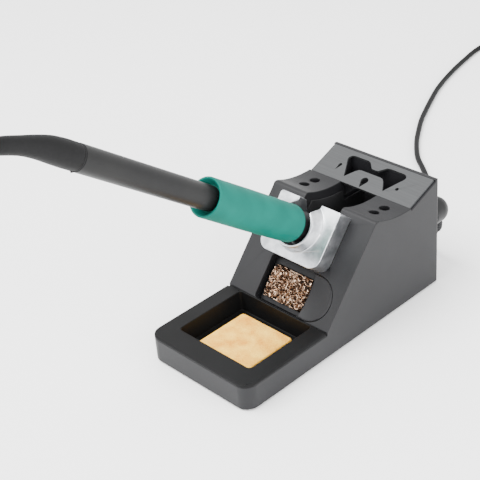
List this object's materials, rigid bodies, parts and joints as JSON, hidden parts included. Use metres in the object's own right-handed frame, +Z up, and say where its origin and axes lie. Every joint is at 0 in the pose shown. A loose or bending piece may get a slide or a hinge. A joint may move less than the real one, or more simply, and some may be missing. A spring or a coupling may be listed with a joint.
{
  "type": "soldering iron stand with iron",
  "caption": "Bench stand with a pencil soldering iron in a cast holder, a sponge tray, a brass wool window, a tip plate, spare tip holes and a rear lead.",
  "frame": {"origin": "middle of the stand's footprint, on the bench under the feet", "axes": "+X to the right as the user faces the sponge tray, +Y away from the user to the back of the stand, +Z up"},
  "size_m": [0.194, 0.6428, 0.1975],
  "materials": {
    "charcoal_abs": "fine satin, moulded",
    "tray_abs": "satin, moulded",
    "zinc_steel": "zinc plated",
    "black_rubber": "matt",
    "boot_rubber": "matt, smooth",
    "lead_pvc": "dull sheen",
    "sponge": "cellulose, open cells",
    "brass_wool": "curled strands",
    "cast_zinc": "die cast, satin",
    "black_steel": "matt black",
    "plate_steel": "brushed across",
    "nylon": "moulded nylon",
    "lug_brass": "bright",
    "red_pvc": "glossy",
    "handle_abs": "satin",
    "steatite": "unglazed ceramic",
    "stainless": "turned",
    "tinned_tip": "bright tinned",
    "grip_foam": "closed cell foam, matt"
  },
  "bodies": {
    "stand": {"casing": "charcoal_abs", "base_plate": "charcoal_abs", "ballast": "zinc_steel", "base_screws": "zinc_steel", "feet": "black_rubber", "wool_insert": "tray_abs", "iron_holder": "cast_zinc", "holder_screws": "zinc_steel", "holder_washers": "zinc_steel", "heat_liner": "black_steel", "tip_plate": "plate_steel", "plate_screws": "zinc_steel", "gland_body": "nylon", "gland_locknut": "nylon", "gland_cap": "nylon", "gland_boot": "black_rubber", "earth_lug": "lug_brass", "inner_wire": "red_pvc", "lead_tube": "lead_pvc", "lead_coil": "lead_pvc", "lead_tail": "lead_pvc", "plug_boot": "black_rubber", "plug_shell": "nylon", "plug_pin": "lug_brass"},
    "iron": {"handle_shaft": "handle_abs", "foam_grip": "grip_foam", "front_collar": "handle_abs", "contact_block": "steatite", "contact_springs": "lug_brass", "heater_tube": "stainless", "soldering_tip": "tinned_tip", "boot_ring": "boot_rubber", "cable_boot": "boot_rubber"},
    "tray": {"sponge_tray": "tray_abs"},
    "sponge": {"sponge": "sponge"},
    "wool": {"brass_wool": "brass_wool"}
  },
  "joints": [
    {"name": "iron_pull", "type": "slide", "parent": "stand", "child": "iron", "axis": [0, -0.8039, 0.5948], "range_m": [0, 0.12]},
    {"name": "tray_lift", "type": "slide", "parent": "stand", "child": "tray", "axis": [0, 0, 1], "range_m": [0, 0.045]},
    {"name": "sponge_lift", "type": "slide", "parent": "tray", "child": "sponge", "axis": [0, 0, 1], "range_m": [0, 0.014]},
    {"name": "wool_pull", "type": "slide", "parent": "stand", "child": "wool", "axis": [0, -0.7581, 0.6521], "range_m": [0, 0.0125]}
  ]
}
